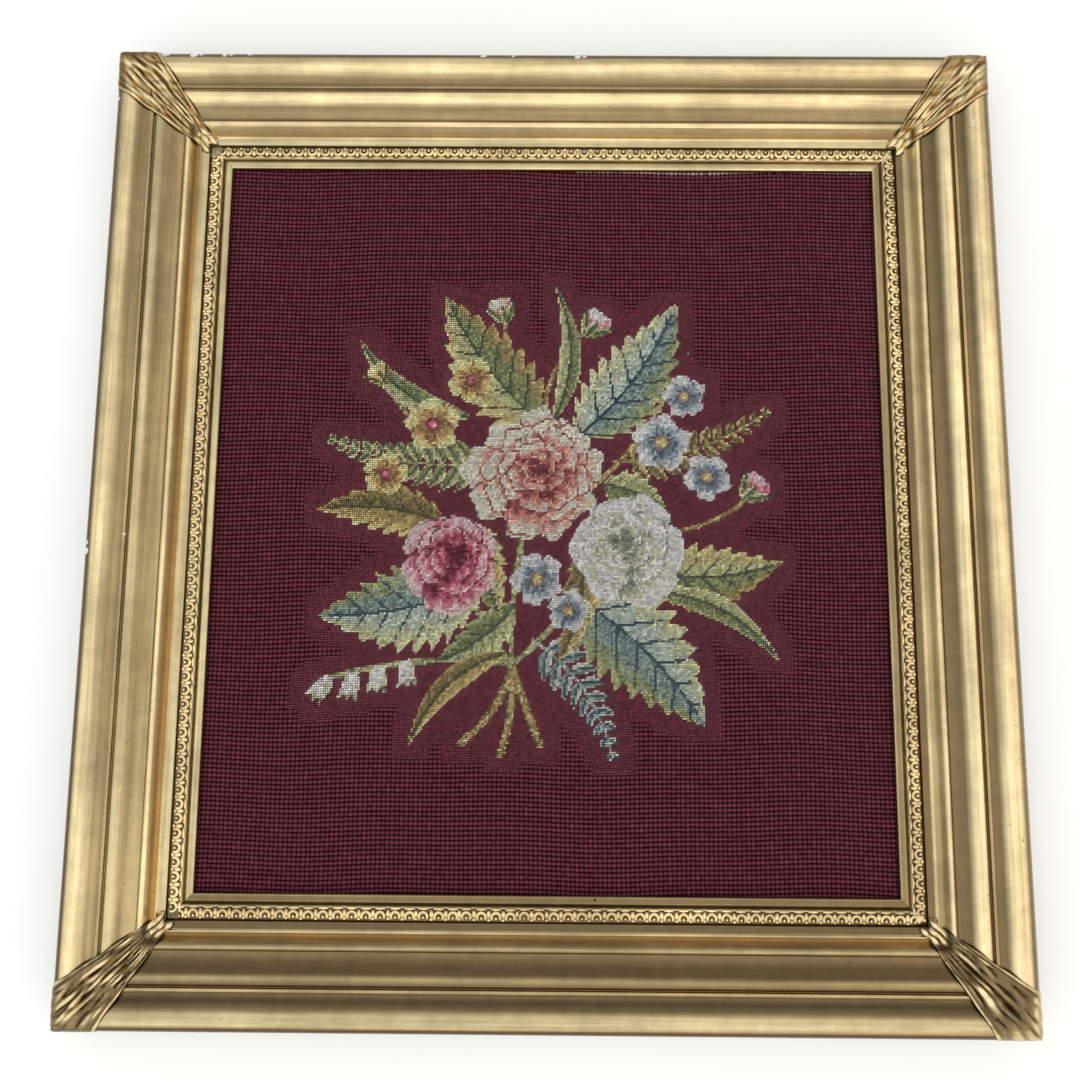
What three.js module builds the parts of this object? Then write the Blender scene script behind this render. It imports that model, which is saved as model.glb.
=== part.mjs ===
// Needlepoint canvas panel in a gilded wooden picture frame.
// Millimetres, +Z up out of the picture's face, +Y towards the top of the picture.
// The framed panel lies on its back: the origin is the middle of its back, on the surface.
import * as THREE from "three";
import { mergeVertices } from "three/addons/utils/BufferGeometryUtils.js";

// Driving dimensions
const STITCH = 2.54; // one large stitch of the canvas, ten to the inch
const SIGHT_WIDTH = 150 * STITCH; // the worked area that shows, 150 stitches across
const SIGHT_HEIGHT = 163 * STITCH; // and 163 stitches up
const FRAME_REACH = 66.5; // from the sight edge out to the frame's outer edge
const GAP = 0.3; // between neighbouring pieces

// The canvas sheet, with its margin under the slip's lip
const CANVAS_MARGIN = 5.7;
const CANVAS_THICK = 2.2;
const CANVAS_TOP = 12.7;
const CANVAS_CELL = 25; // size of one patch of the sheet's uneven surface
const CANVAS_HELD_FLAT = 14; // the sheet is flat this near its edges

// The ornament strip on the slip
const SCROLL_PITCH = 7.7;
const SCROLL_RELIEF = 0.55;
const STRIP_INNER = 6.2;
const STRIP_OUTER = 13.5;
const STRIP_BED = 14.3;

// The corner leaves
const LEAF_RIDGES = 6; // folds across the leaf
const LEAF_EDGE = 0.9; // thickness at the leaf's rim

// Turns rows of numbers into objects, so that each column has its name
const table = (columns, rows) =>
  rows.map((row) => Object.fromEntries(columns.map((name, i) => [name, row[i]])));

// The rail's moulded face, from its inner lip to its outer edge.
// reach is measured out from the sight edge, height up from the back.
const RAIL_FACE = table(["reach", "height"], [
  [14.1, 16.3], // flat band beside the slip
  [18.3, 16.7],
  [18.9, 17.4], // arris
  [19.5, 17.2], // small cove
  [21.2, 17.4],
  [22.7, 18.5],
  [23.7, 20.0],
  [24.2, 20.9], // bead
  [25.1, 21.7],
  [26.3, 22.0],
  [27.3, 21.6],
  [28.0, 20.9],
  [29.5, 20.9], // inner ogee
  [32.0, 21.9],
  [34.5, 23.5],
  [36.5, 25.1],
  [38.5, 26.5],
  [40.5, 27.3],
  [42.3, 27.4],
  [43.4, 26.9],
  [43.9, 26.2], // groove
  [44.4, 26.2],
  [44.7, 27.6], // fillet
  [46.2, 27.8],
  [46.5, 27.2],
  [48.0, 27.4], // outer ogee
  [50.0, 28.5],
  [52.0, 30.1],
  [54.0, 31.4],
  [56.5, 32.2],
  [59.5, 32.1],
  [62.0, 31.4],
  [64.2, 30.1],
  [65.7, 28.3],
  [66.5, 26.0], // outer edge
]);
const RAIL_WALL_FOOT = 21; // the outer wall is upright down to here, then leans in
const RAIL_BACK_OUTER = 62.5;
const REBATE_WALL = 22;
const REBATE_TOP = 11.2;

// The slip's section: lip, cove, bed for the ornament, and the flange in the rail's rebate
const SLIP_SECTION = table(["reach", "height"], [
  [0.0, 13.0], // lip over the canvas
  [0.0, 15.3],
  [0.5, 16.0],
  [3.6, 16.0],
  [4.3, 15.5],
  [5.0, 14.7], // cove
  [5.9, STRIP_BED],
  [13.8, STRIP_BED],
  [13.8, REBATE_TOP - GAP],
  [REBATE_WALL - GAP, REBATE_TOP - GAP],
  [REBATE_WALL - GAP, 5.0],
  [6.0, 5.0],
  [6.0, 13.0],
]);

// The corner leaf, from its tongue beside the slip to its tips at the outer corner.
// half_width runs along the rail from the mitre, body is the thickness at the middle,
// and fold is how deep its folds are.
const LEAF_ROWS = table(["reach", "half_width", "body", "fold"], [
  [14.5, 4.2, 1.0, 0.0], // tongue
  [16.6, 5.8, 2.6, 0.2],
  [20.0, 6.6, 2.2, 0.3],
  [22.4, 7.4, 2.4, 0.4], // neck
  [24.6, 8.4, 2.6, 0.6],
  [26.4, 9.2, 2.9, 0.9], // boss over the bead
  [28.2, 10.0, 2.9, 1.2],
  [33.0, 11.6, 2.3, 1.4],
  [38.0, 13.3, 2.2, 1.5],
  [42.5, 14.9, 2.2, 1.5],
  [46.2, 16.2, 2.2, 1.5],
  [50.5, 17.9, 2.2, 1.5],
  [54.5, 19.5, 2.2, 1.6],
  [58.5, 21.0, 2.2, 1.6],
  [62.0, 22.4, 2.1, 1.5],
  [64.6, 23.4, 2.0, 1.3],
  [66.3, 24.1, 1.9, 1.1],
]);
const LEAF_HOOK = { reach: 66.9, height: 24.4, thick: 0.9 }; // the tips turn down over the edge

// Broad unevenness of the stretched canvas
const CANVAS_SWELLS = table(["x", "y", "radius", "rise"], [
  [-118, 112, 70, 0.55],
  [96, 128, 85, -0.5],
  [12, -20, 95, 0.6],
  [-96, -118, 80, -0.6],
  [124, -92, 70, 0.5],
]);

const OUTER_WIDTH = SIGHT_WIDTH + 2 * FRAME_REACH;
const OUTER_HEIGHT = SIGHT_HEIGHT + 2 * FRAME_REACH;

const gilt = (colour, roughness) =>
  new THREE.MeshStandardMaterial({ color: colour, roughness, metalness: 0.85 });
const railGilt = gilt(0xb79a5e, 0.42);
const slipGilt = gilt(0xb08f52, 0.45);
const stripGilt = gilt(0xc6a45c, 0.38);
const leafGilt = gilt(0xb8934e, 0.38);
const wool = new THREE.MeshStandardMaterial({ color: 0x5a2236, roughness: 0.95, metalness: 0 });

// The four sides: how far their sight edge lies from the middle, its length, and the turn
// that takes a rail built along +X at the top of the picture to its place
const SIDES = table(["name", "sight", "length", "turn"], [
  ["top", SIGHT_HEIGHT / 2, SIGHT_WIDTH, 0],
  ["left", SIGHT_WIDTH / 2, SIGHT_HEIGHT, Math.PI / 2],
  ["bottom", SIGHT_HEIGHT / 2, SIGHT_WIDTH, Math.PI],
  ["right", SIGHT_WIDTH / 2, SIGHT_HEIGHT, -Math.PI / 2],
]);

// Height of the rail's face at a reach
function faceHeight(reach) {
  const after = RAIL_FACE.findIndex((row) => row.reach >= reach);
  if (after <= 0) return RAIL_FACE.at(after).height;
  const [a, b] = [RAIL_FACE[after - 1], RAIL_FACE[after]];
  return a.height + ((b.height - a.height) * (reach - a.reach)) / (b.reach - a.reach);
}

// A moulding of a section of (reach, height) points, extruded along a side and mitred at both
// ends: each end point moves along the moulding by its reach. raise(reach, height, along) adds
// relief.
function mitredMoulding(section, side, steps = 1, raise = () => 0) {
  const outline = new THREE.Shape(section.map((p) => new THREE.Vector2(p.reach, p.height)));
  const geometry = new THREE.ExtrudeGeometry(outline, { depth: 1, steps, bevelEnabled: false });
  const position = geometry.getAttribute("position");
  for (let i = 0; i < position.count; i++) {
    const [reach, height, share] = [position.getX(i), position.getY(i), position.getZ(i)];
    const half = side.length / 2 + reach - GAP / 2;
    const along = (2 * share - 1) * half;
    position.setXYZ(i, along, side.sight + reach, height + raise(reach, height, along));
  }
  return geometry;
}

function railSection() {
  return [
    { reach: RAIL_FACE[0].reach, height: REBATE_TOP },
    ...RAIL_FACE,
    { reach: FRAME_REACH, height: RAIL_WALL_FOOT },
    { reach: RAIL_BACK_OUTER, height: 0 },
    { reach: REBATE_WALL, height: 0 },
    { reach: REBATE_WALL, height: REBATE_TOP },
  ];
}

// The pressed strip: a low roof whose crest swells once for each scroll
function ornamentStrip(side) {
  const base = STRIP_BED + GAP;
  const [shoulder, crest] = [base + 0.7, base + 1.5];
  const middle = (STRIP_INNER + STRIP_OUTER) / 2;
  const section = [
    { reach: STRIP_INNER, height: base },
    { reach: STRIP_INNER, height: shoulder },
    { reach: middle, height: crest },
    { reach: STRIP_OUTER, height: shoulder },
    { reach: STRIP_OUTER, height: base },
  ];
  const scrolls = 2 * Math.floor((side.length + 2 * STRIP_INNER) / SCROLL_PITCH / 2) + 1;
  const step = (side.length + 2 * middle - GAP) / (2 * scrolls);
  const swell = (reach, height, along) =>
    height > shoulder + GAP ? SCROLL_RELIEF * Math.cos((Math.PI * along) / step) : 0;
  return mitredMoulding(section, side, 2 * scrolls, swell);
}

// The leaf's rows are sparser than the face they lie over, so it is lifted clear of the face
// by the most that the face rises above a straight line between two rows
function leafSeatLift() {
  let rise = 0;
  for (let i = 1; i < LEAF_ROWS.length; i++) {
    const [a, b] = [LEAF_ROWS[i - 1], LEAF_ROWS[i]];
    const slope = (faceHeight(b.reach) - faceHeight(a.reach)) / (b.reach - a.reach);
    for (const p of RAIL_FACE.filter((q) => q.reach > a.reach && q.reach < b.reach))
      rise = Math.max(rise, p.height - faceHeight(a.reach) - slope * (p.reach - a.reach));
  }
  return rise + GAP;
}

// A place on the leaf: across runs from -1 to 1 over its width, the mitre in the middle.
// Built for the corner at +X, +Y.
function leafPoint(reach, halfWidth, across, height) {
  const along = halfWidth * Math.abs(across);
  const x = SIGHT_WIDTH / 2 + reach - (across > 0 ? along : 0);
  const y = SIGHT_HEIGHT / 2 + reach - (across < 0 ? along : 0);
  return [x, y, height];
}

// One closed solid: an upper and a lower sheet of points, joined round their rim
function cornerLeaf() {
  const lift = leafSeatLift();
  const columns = 2 * LEAF_RIDGES + 1;
  const upper = [];
  const lower = [];
  for (const row of LEAF_ROWS) {
    const seat = faceHeight(row.reach) + lift;
    for (let j = 0; j < columns; j++) {
      const across = 1 - (2 * j) / (columns - 1);
      const crown = LEAF_EDGE + (row.body - LEAF_EDGE) * (1 - across ** 4);
      const fold = j % 2 ? row.fold / 2 : -row.fold / 2;
      const thick = Math.max(LEAF_EDGE, crown + (1 - across ** 8) * fold);
      lower.push(leafPoint(row.reach, row.half_width, across, seat));
      upper.push(leafPoint(row.reach, row.half_width, across, seat + thick));
    }
  }
  const tip = LEAF_ROWS.at(-1);
  for (let j = 0; j < columns; j++) {
    const across = 1 - (2 * j) / (columns - 1);
    const { reach, height, thick } = LEAF_HOOK;
    lower.push(leafPoint(reach, tip.half_width, across, height));
    upper.push(leafPoint(reach + thick, tip.half_width, across, height));
  }
  return sheetSolid(upper, lower, columns);
}

// Closes two grids of points, the upper facing up, into one solid
function sheetSolid(upper, lower, columns) {
  const rows = upper.length / columns;
  const shift = upper.length;
  const faces = [];
  const quad = (a, b, c, d) => faces.push(a, b, c, a, c, d);
  for (let i = 0; i + 1 < rows; i++)
    for (let j = 0; j + 1 < columns; j++) {
      const [a, b] = [i * columns + j, i * columns + j + 1];
      const [c, d] = [b + columns, a + columns];
      quad(a, b, c, d);
      quad(a + shift, d + shift, c + shift, b + shift);
    }
  const rim = [];
  for (let j = 0; j + 1 < columns; j++) rim.push(j);
  for (let i = 0; i + 1 < rows; i++) rim.push(i * columns + columns - 1);
  for (let j = columns - 1; j > 0; j--) rim.push((rows - 1) * columns + j);
  for (let i = rows - 1; i > 0; i--) rim.push(i * columns);
  rim.forEach((a, k) => {
    const b = rim[(k + 1) % rim.length];
    quad(a, a + shift, b + shift, b);
  });
  const geometry = new THREE.BufferGeometry();
  geometry.setAttribute("position", new THREE.Float32BufferAttribute([...upper, ...lower].flat(), 3));
  geometry.setIndex(faces);
  return geometry;
}

// The same leaf mirrored for the corner at the given signs of X and Y
function mirrored(geometry, signX, signY) {
  const copy = geometry.clone().scale(signX, signY, 1);
  if (signX * signY < 0) {
    const index = copy.getIndex();
    for (let i = 0; i < index.count; i += 3) {
      const [b, c] = [index.getX(i + 1), index.getX(i + 2)];
      index.setX(i + 1, c);
      index.setX(i + 2, b);
    }
  }
  return copy;
}

// How far the stretched sheet lies above its level at a place
function canvasRise(x, y) {
  const edge = Math.min(SIGHT_WIDTH / 2 - Math.abs(x), SIGHT_HEIGHT / 2 - Math.abs(y));
  const free = THREE.MathUtils.smoothstep(edge, 0, CANVAS_HELD_FLAT * 2);
  const swell = CANVAS_SWELLS.reduce(
    (sum, s) => sum + s.rise * Math.exp(-(((x - s.x) ** 2 + (y - s.y) ** 2) / s.radius ** 2)),
    0,
  );
  return free * swell;
}

function canvasSheet() {
  const width = SIGHT_WIDTH + 2 * CANVAS_MARGIN;
  const height = SIGHT_HEIGHT + 2 * CANVAS_MARGIN;
  const [across, up] = [Math.round(width / CANVAS_CELL), Math.round(height / CANVAS_CELL)];
  const box = new THREE.BoxGeometry(width, height, CANVAS_THICK, across, up, 1);
  box.deleteAttribute("normal");
  box.deleteAttribute("uv");
  const sheet = mergeVertices(box);
  const position = sheet.getAttribute("position");
  for (let i = 0; i < position.count; i++) {
    const rise = canvasRise(position.getX(i), position.getY(i));
    position.setZ(i, position.getZ(i) + CANVAS_TOP - CANVAS_THICK / 2 + rise);
  }
  return sheet;
}

function named(name, geometry, material) {
  const mesh = new THREE.Mesh(geometry, material);
  mesh.name = name;
  return mesh;
}

const panel = new THREE.Group();
panel.add(named("needlepoint_canvas", canvasSheet(), wool));
for (const side of SIDES) {
  const group = new THREE.Group();
  group.rotation.z = side.turn;
  group.add(
    named(`rail_${side.name}`, mitredMoulding(railSection(), side), railGilt),
    named(`slip_${side.name}`, mitredMoulding(SLIP_SECTION, side), slipGilt),
    named(`ornament_${side.name}`, ornamentStrip(side), stripGilt),
  );
  panel.add(group);
}
const leaf = cornerLeaf();
for (const [name, signX, signY] of [
  ["top_right", 1, 1],
  ["top_left", -1, 1],
  ["bottom_left", -1, -1],
  ["bottom_right", 1, -1],
])
  panel.add(named(`corner_leaf_${name}`, mirrored(leaf, signX, signY), leafGilt));

export default panel;
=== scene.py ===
"""Dresses a framed needlepoint panel: gilded mouldings, ornament, corner leaves and stitched canvas."""

import math
from contextlib import contextmanager

import bpy
import numpy as np
from bpy.props import FloatProperty, FloatVectorProperty, IntProperty, PointerProperty
from mathutils import Matrix, Vector


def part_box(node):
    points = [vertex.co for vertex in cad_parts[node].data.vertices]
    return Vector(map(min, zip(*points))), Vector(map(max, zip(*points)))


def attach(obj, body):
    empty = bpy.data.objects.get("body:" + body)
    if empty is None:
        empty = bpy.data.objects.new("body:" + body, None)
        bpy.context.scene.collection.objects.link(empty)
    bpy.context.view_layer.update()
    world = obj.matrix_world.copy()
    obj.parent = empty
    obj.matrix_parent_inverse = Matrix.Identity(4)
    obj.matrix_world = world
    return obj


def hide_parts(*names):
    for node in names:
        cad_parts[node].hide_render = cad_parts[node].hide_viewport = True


bl_info = {
    "name": "Framed Needlepoint Panel",
    "version": (1, 0, 0),
    "blender": (4, 5, 0),
    "location": "View3D > Sidebar > Needlepoint",
    "description": "Dresses a gilded picture frame and the needlepoint canvas in it",
    "category": "Add Mesh",
}

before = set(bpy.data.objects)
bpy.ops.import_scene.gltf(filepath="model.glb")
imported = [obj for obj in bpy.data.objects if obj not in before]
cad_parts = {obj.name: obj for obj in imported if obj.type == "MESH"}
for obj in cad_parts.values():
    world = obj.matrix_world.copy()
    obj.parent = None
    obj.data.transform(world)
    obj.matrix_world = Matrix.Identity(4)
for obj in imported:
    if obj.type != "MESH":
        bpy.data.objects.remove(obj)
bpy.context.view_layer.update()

MM = 0.001
BODY = "root"

# The four sides of the frame, and the turn that takes a piece made along the top to each of them
SIDE_TURN = {"top": 0.0, "left": 90.0, "bottom": 180.0, "right": -90.0}
# The four corners, as the signs of X and Y, from the one at +X, +Y that a leaf is made for
CORNER_SIGNS = {
    "top_right": (1, 1),
    "top_left": (-1, 1),
    "bottom_left": (-1, -1),
    "bottom_right": (1, -1),
}

# Half the opening that shows the canvas, from the slip's inner edges
SIGHT_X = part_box("slip_right")[0].x
SIGHT_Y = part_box("slip_top")[0].y
FRAME_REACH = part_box("rail_top")[1].y - SIGHT_Y
STRIP_LOW, STRIP_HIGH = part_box("ornament_top")
CANVAS_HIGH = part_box("needlepoint_canvas")[1]

SEED = 7
# The number by which a material tells the sides apart
SIDE_CODE = {"top": 5.0, "bottom": -5.0, "right": 9.0, "left": -9.0}


def srgb(red, green, blue):
    """A colour given in screen values from 0 to 255, as the linear values that shaders take."""
    screen = np.array((red, green, blue)) / 255
    linear = np.where(screen > 0.04045, ((screen + 0.055) / 1.055) ** 2.4, screen / 12.92)
    return tuple(float(value) for value in linear)


def colour_property(name, description, *screen):
    """A colour setting, with its default in screen values from 0 to 255."""
    return FloatVectorProperty(name=name, description=description, subtype="COLOR", default=srgb(*screen))


class CanvasSettings(bpy.types.PropertyGroup):
    """Sizes and colours of the stitched canvas."""

    stitches_across: IntProperty(
        name="Stitches across",
        description="Large stitches across the opening",
        default=150,
        subtype="UNSIGNED",
    )
    stitches_up: IntProperty(
        name="Stitches up", description="Large stitches up the opening", default=163, subtype="UNSIGNED"
    )
    ground_wool: colour_property("Ground wool", "Colour of the large stitches round the edge", 108, 44, 60)
    fine_wool: colour_property("Fine wool", "Colour of the small stitches round the flowers", 128, 56, 74)
    row_wave: FloatProperty(
        name="Row wave",
        description="How far the stitched rows stray from straight",
        default=1.5 * MM,
        subtype="DISTANCE",
        unit="LENGTH",
    )


class GildingSettings(bpy.types.PropertyGroup):
    """Colours of the gilding."""

    # Bright gold is rubbed gilding with painted highlights, on crests, leaf ridges and ornament tops
    bright: colour_property("Bright gold", "Gold where it is rubbed clean", 246, 222, 172)
    soft: colour_property("Soft gold", "Gold a little dulled, on fillets and worn edges", 182, 161, 118)
    # Pale gold is painted light: it makes the flats of the top and left sides lighter than the others
    pale: colour_property("Pale gold", "Clean gold, on the flats of the top and left sides", 205, 188, 145)
    mellow: colour_property("Mellow gold", "Gold between soft and toned, in shallow hollows", 156, 135, 98)
    # Toned gold is aged gold, and is also used as painted shade on the slopes of the bottom and right sides
    toned: colour_property("Toned gold", "Gold dulled by age, on flats and in hollows", 124, 104, 73)
    # Dusky gold is painted shade: it darkens the bottom rail, the lower leaves and a corner block on the
    # bottom side
    dusk: colour_property("Dusky gold", "The dullest gold, on the bottom rail", 104, 88, 62)
    ochre: colour_property("Ochre gold", "Warm gold in the small cove and on upper leaves", 166, 124, 66)
    # Umber gold darkens hollows, grooves, the slip under the ornament and the rails' outer edge, as dirt
    # and painted shade
    umber: colour_property("Umber gold", "Gold under brown dirt, in the hollows of the relief", 122, 88, 50)
    # Brown dirt, also used as painted shade in the grooves, at the rails' outer edge, on the outer wall and
    # where slip and rails meet
    grime: colour_property("Grime", "Brown dirt in the grooves", 84, 61, 36)
    bare: colour_property("Bare composition", "Grey composition where gilding is worn off", 142, 128, 104)
    chip: colour_property("Chip", "Bare ground where the gilding is knocked off", 226, 228, 228)


class StageSettings(bpy.types.PropertyGroup):
    """Camera, floor and light."""

    camera_place: FloatVectorProperty(
        name="Camera place",
        description="Where the camera is",
        subtype="TRANSLATION",
        unit="LENGTH",
        default=(3.18 * MM, -68.5 * MM, 579.0 * MM),
    )
    camera_turn: FloatVectorProperty(
        name="Camera turn",
        description="Turn of the camera from looking straight down, as a rotation vector",
        subtype="AXISANGLE",
        default=(math.radians(8.07), math.radians(0.306), math.radians(0.407)),
        size=3,
    )
    lens: FloatProperty(
        name="Lens", description="Focal length in millimetres", default=33.33, unit="CAMERA"
    )
    shift: FloatVectorProperty(
        name="Shift",
        description="Sideways and upward shift of the view",
        subtype="XYZ",
        size=2,
        default=(-0.0084, -0.0421),
    )
    floor: colour_property("Floor", "Colour of the floor", 245, 245, 244)


def deselect():
    """Leaves edit mode and deselects everything, so that an operator acts on the new piece alone."""
    if bpy.context.object and bpy.context.object.mode != "OBJECT":
        bpy.ops.object.mode_set(mode="OBJECT")
    bpy.ops.object.select_all(action="DESELECT")


def select_only(piece, *others):
    """Selects a piece and any others, with the first one active."""
    deselect()
    for each in (piece, *others):
        each.select_set(True)
    bpy.context.view_layer.objects.active = piece


def join(piece, *others):
    select_only(piece, *others)
    bpy.ops.object.join()


@contextmanager
def edit_mode(piece):
    """Edit mode with the whole of a piece selected."""
    select_only(piece)
    bpy.ops.object.mode_set(mode="EDIT")
    bpy.ops.mesh.select_all(action="SELECT")
    yield
    bpy.ops.object.mode_set(mode="OBJECT")


def saw(place, normal, clear=False):
    """Cuts the piece in edit mode along a plane, or clears what lies beyond it and closes the cut."""
    bpy.ops.mesh.select_all(action="SELECT")
    bpy.ops.mesh.bisect(plane_co=place, plane_no=normal, use_fill=clear, clear_outer=clear)


def smooth_outward(piece, degrees):
    """Turns the faces outwards and smooths all but the sharper edges."""
    with edit_mode(piece):
        bpy.ops.mesh.normals_make_consistent(inside=False)
    bpy.ops.object.shade_smooth_by_angle(angle=math.radians(degrees))


def transform(piece, *steps):
    for step in steps:
        piece.data.transform(step)


def side_matrix(side):
    return Matrix.Rotation(math.radians(SIDE_TURN[side]), 4, "Z")


def place_piece(piece, name, slot, *nodes):
    """Names a finished piece, lets it ride on the object and stand for its CAD nodes."""
    piece.name = name
    piece.data.name = name
    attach(piece, BODY)
    if nodes:
        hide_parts(*nodes)


def vertex_places(mesh):
    places = np.empty(len(mesh.vertices) * 3)
    mesh.vertices.foreach_get("co", places)
    return places.reshape(-1, 3)


def set_vertex_places(mesh, places):
    mesh.vertices.foreach_set("co", np.asarray(places, float).ravel())
    mesh.update()


def smoothstep(low, high, value):
    share = np.clip((np.asarray(value, float) - low) / (high - low), 0, 1)
    return share * share * (3 - 2 * share)


# Materials


def set_inputs(tree, node, inputs):
    """Gives a node's inputs their values, or links them to the sockets that feed them."""
    for key, value in inputs.items():
        socket = node.inputs[key]
        if isinstance(value, bpy.types.NodeSocket):
            tree.links.new(value, socket)
        elif socket.type == "RGBA":
            socket.default_value = (*value[:3], 1.0)
        else:
            socket.default_value = value


def add_node(tree, kind, inputs=None, **settings):
    made = tree.nodes.new(kind)
    for key, value in settings.items():
        setattr(made, key, value)
    set_inputs(tree, made, inputs or {})
    return made


def object_place(tree):
    return add_node(tree, "ShaderNodeTexCoord").outputs["Object"]


def maths(tree, operation, first, second=0.0, third=0.5):
    inputs = {0: first, 1: second, 2: third}
    return add_node(tree, "ShaderNodeMath", inputs, operation=operation).outputs[0]


def vector_maths(tree, operation, *inputs):
    made = add_node(tree, "ShaderNodeVectorMath", dict(enumerate(inputs)), operation=operation)
    return made.outputs["Value" if operation in ("DISTANCE", "DOT_PRODUCT") else "Vector"]


def mix_colour(tree, factor, first, second, blend="MIX"):
    inputs = {0: factor, 6: first, 7: second}
    return add_node(tree, "ShaderNodeMix", inputs, data_type="RGBA", blend_type=blend).outputs[2]


def ramp(tree, factor, stops):
    """A colour ramp with a stop for each (position, grey value or colour)."""
    made = add_node(tree, "ShaderNodeValToRGB", {"Fac": factor})
    elements = made.color_ramp.elements
    while len(elements) < len(stops):
        elements.new(0.5)
    for element, (position, value) in zip(elements, stops):
        element.position = position
        element.color = (*value[:3], 1.0) if hasattr(value, "__len__") else (value, value, value, 1.0)
    return made.outputs["Color"]


def noise(tree, place, scale, detail=3.0, roughness=0.55):
    sockets = {"Vector": place, "Scale": scale, "Detail": detail, "Roughness": roughness}
    return add_node(tree, "ShaderNodeTexNoise", sockets).outputs["Fac"]


def add_bump(tree, shader, height, distance, strength):
    inputs = {"Height": height, "Distance": distance, "Strength": strength}
    bump = add_node(tree, "ShaderNodeBump", inputs)
    tree.links.new(bump.outputs["Normal"], shader.inputs["Normal"])


FLOAT, COLOUR, VECTOR = "NodeSocketFloat", "NodeSocketColor", "NodeSocketVector"


def new_group(name, inputs, outputs):
    """A shader node group, with the kind of each input and output by its name."""
    group = bpy.data.node_groups.new(name, "ShaderNodeTree")
    for way, sockets in (("INPUT", inputs), ("OUTPUT", outputs)):
        for label, kind in sockets.items():
            group.interface.new_socket(label, in_out=way, socket_type=kind)
    entry = group.nodes.new("NodeGroupInput")
    return group, entry.outputs, group.nodes.new("NodeGroupOutput")


def use_group(tree, name, build, inputs=None):
    """The outputs of a node group, which is built where it is first used."""
    group = bpy.data.node_groups.get(name) or build(name)
    return add_node(tree, "ShaderNodeGroup", inputs, node_tree=group).outputs


def new_material(name):
    material = bpy.data.materials.new(name)
    material.use_nodes = True
    tree = material.node_tree
    return material, tree, tree.nodes["Principled BSDF"]


def moulding_place_group(name):
    """Where a point lies on the frame: millimetres out from the opening, and along its side."""
    outputs = {"Reach": FLOAT, "Height": FLOAT, "Side": FLOAT, "Streak place": VECTOR}
    group, _, leave = new_group(name, {}, outputs)
    axes = add_node(group, "ShaderNodeSeparateXYZ", {0: object_place(group)}).outputs
    out_x = maths(group, "SUBTRACT", maths(group, "ABSOLUTE", axes["X"]), SIGHT_X)
    out_y = maths(group, "SUBTRACT", maths(group, "ABSOLUTE", axes["Y"]), SIGHT_Y)
    reach = maths(group, "MULTIPLY", maths(group, "MAXIMUM", out_x, out_y), 1 / MM)
    on_top = maths(group, "GREATER_THAN", out_y, out_x)
    on_side = maths(group, "SUBTRACT", 1.0, on_top)
    along_y = maths(group, "MULTIPLY", maths(group, "ADD", axes["Y"], 3.0), on_side)
    along = maths(group, "MULTIPLY_ADD", axes["X"], on_top, along_y)
    code_y = maths(group, "MULTIPLY", on_top, SIDE_CODE["top"])
    code_x = maths(group, "MULTIPLY", on_side, SIDE_CODE["right"])
    side_y = maths(group, "MULTIPLY", maths(group, "SIGN", axes["Y"]), code_y)
    side = maths(group, "MULTIPLY_ADD", maths(group, "SIGN", axes["X"]), code_x, side_y)
    height = maths(group, "MULTIPLY", axes["Z"], 1 / MM)
    long = maths(group, "MULTIPLY", along, 6.0)
    wide = maths(group, "MULTIPLY", reach, 0.3)
    streak = add_node(group, "ShaderNodeCombineXYZ", {"X": long, "Y": wide, "Z": side}).outputs[0]
    set_inputs(group, leave, {"Reach": reach, "Height": height, "Side": side, "Streak place": streak})
    return group


def gilding_group(name):
    """Aged gold: a tone along the section, dulled in streaks along the moulding, with fine specks."""
    inputs = {"Tone": COLOUR, "Dull": COLOUR, "Dirt": COLOUR, "Streak place": VECTOR}
    group, entry, leave = new_group(name, inputs, {"Color": COLOUR, "Roughness": FLOAT, "Height": FLOAT})
    coords = object_place(group)
    streaks = noise(group, entry["Streak place"], 1.0, 6.0, 0.66)
    cloud = noise(group, coords, 17.0, 4.0)
    fine = noise(group, coords, 900.0, 2.0)
    mottle = ramp(group, noise(group, coords, 130.0, 3.0, 0.6), [(0.32, 0.9), (0.66, 1.06)])
    wear = maths(group, "MULTIPLY_ADD", streaks, 0.7, maths(group, "MULTIPLY", cloud, 0.5))
    dull = ramp(group, wear, [(0.5, 0.0), (0.8, 0.6)])
    gold = mix_colour(group, dull, entry["Tone"], entry["Dull"])
    rubbed = ramp(group, wear, [(0.34, 1.14), (0.68, 0.9)])
    for shade in (rubbed, mottle):
        gold = mix_colour(group, 1.0, gold, shade, "MULTIPLY")
    specks = ramp(group, noise(group, coords, 420.0, 3.0, 0.7), [(0.27, 1.0), (0.33, 0.0)])
    specks = maths(group, "MULTIPLY", specks, 0.6)
    gold = mix_colour(group, specks, gold, entry["Dirt"])
    rough = maths(group, "MULTIPLY_ADD", dull, 0.14, 0.27)
    rough = maths(group, "MULTIPLY_ADD", specks, 0.3, rough)
    height = maths(group, "MULTIPLY_ADD", streaks, 0.5, maths(group, "MULTIPLY", fine, 0.25))
    set_inputs(group, leave, {"Color": gold, "Roughness": rough, "Height": height})
    return group


# Chips along the outer edge and the fillet: place across and up, and radius, in millimetres
CHIPS = (
    (-229, 270.7, 1.9), (-212, 270.9, 2.3), (-208, 271.1, 1.6), (-194, 270.7, 2.0),
    (-190, 271.0, 1.3), (-179, 270.9, 1.5), (-41, 270.8, 1.9), (-23, 271.0, 1.2),
    (15, 270.7, 2.1), (19, 271.0, 1.4), (-255.2, 243, 1.5), (-255.0, -19, 1.4),
    (-254.9, -24, 2.1), (-236.0, -14, 1.1), (245, 231, 0.9), (245.5, 228.5, 0.8),
)


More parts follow.
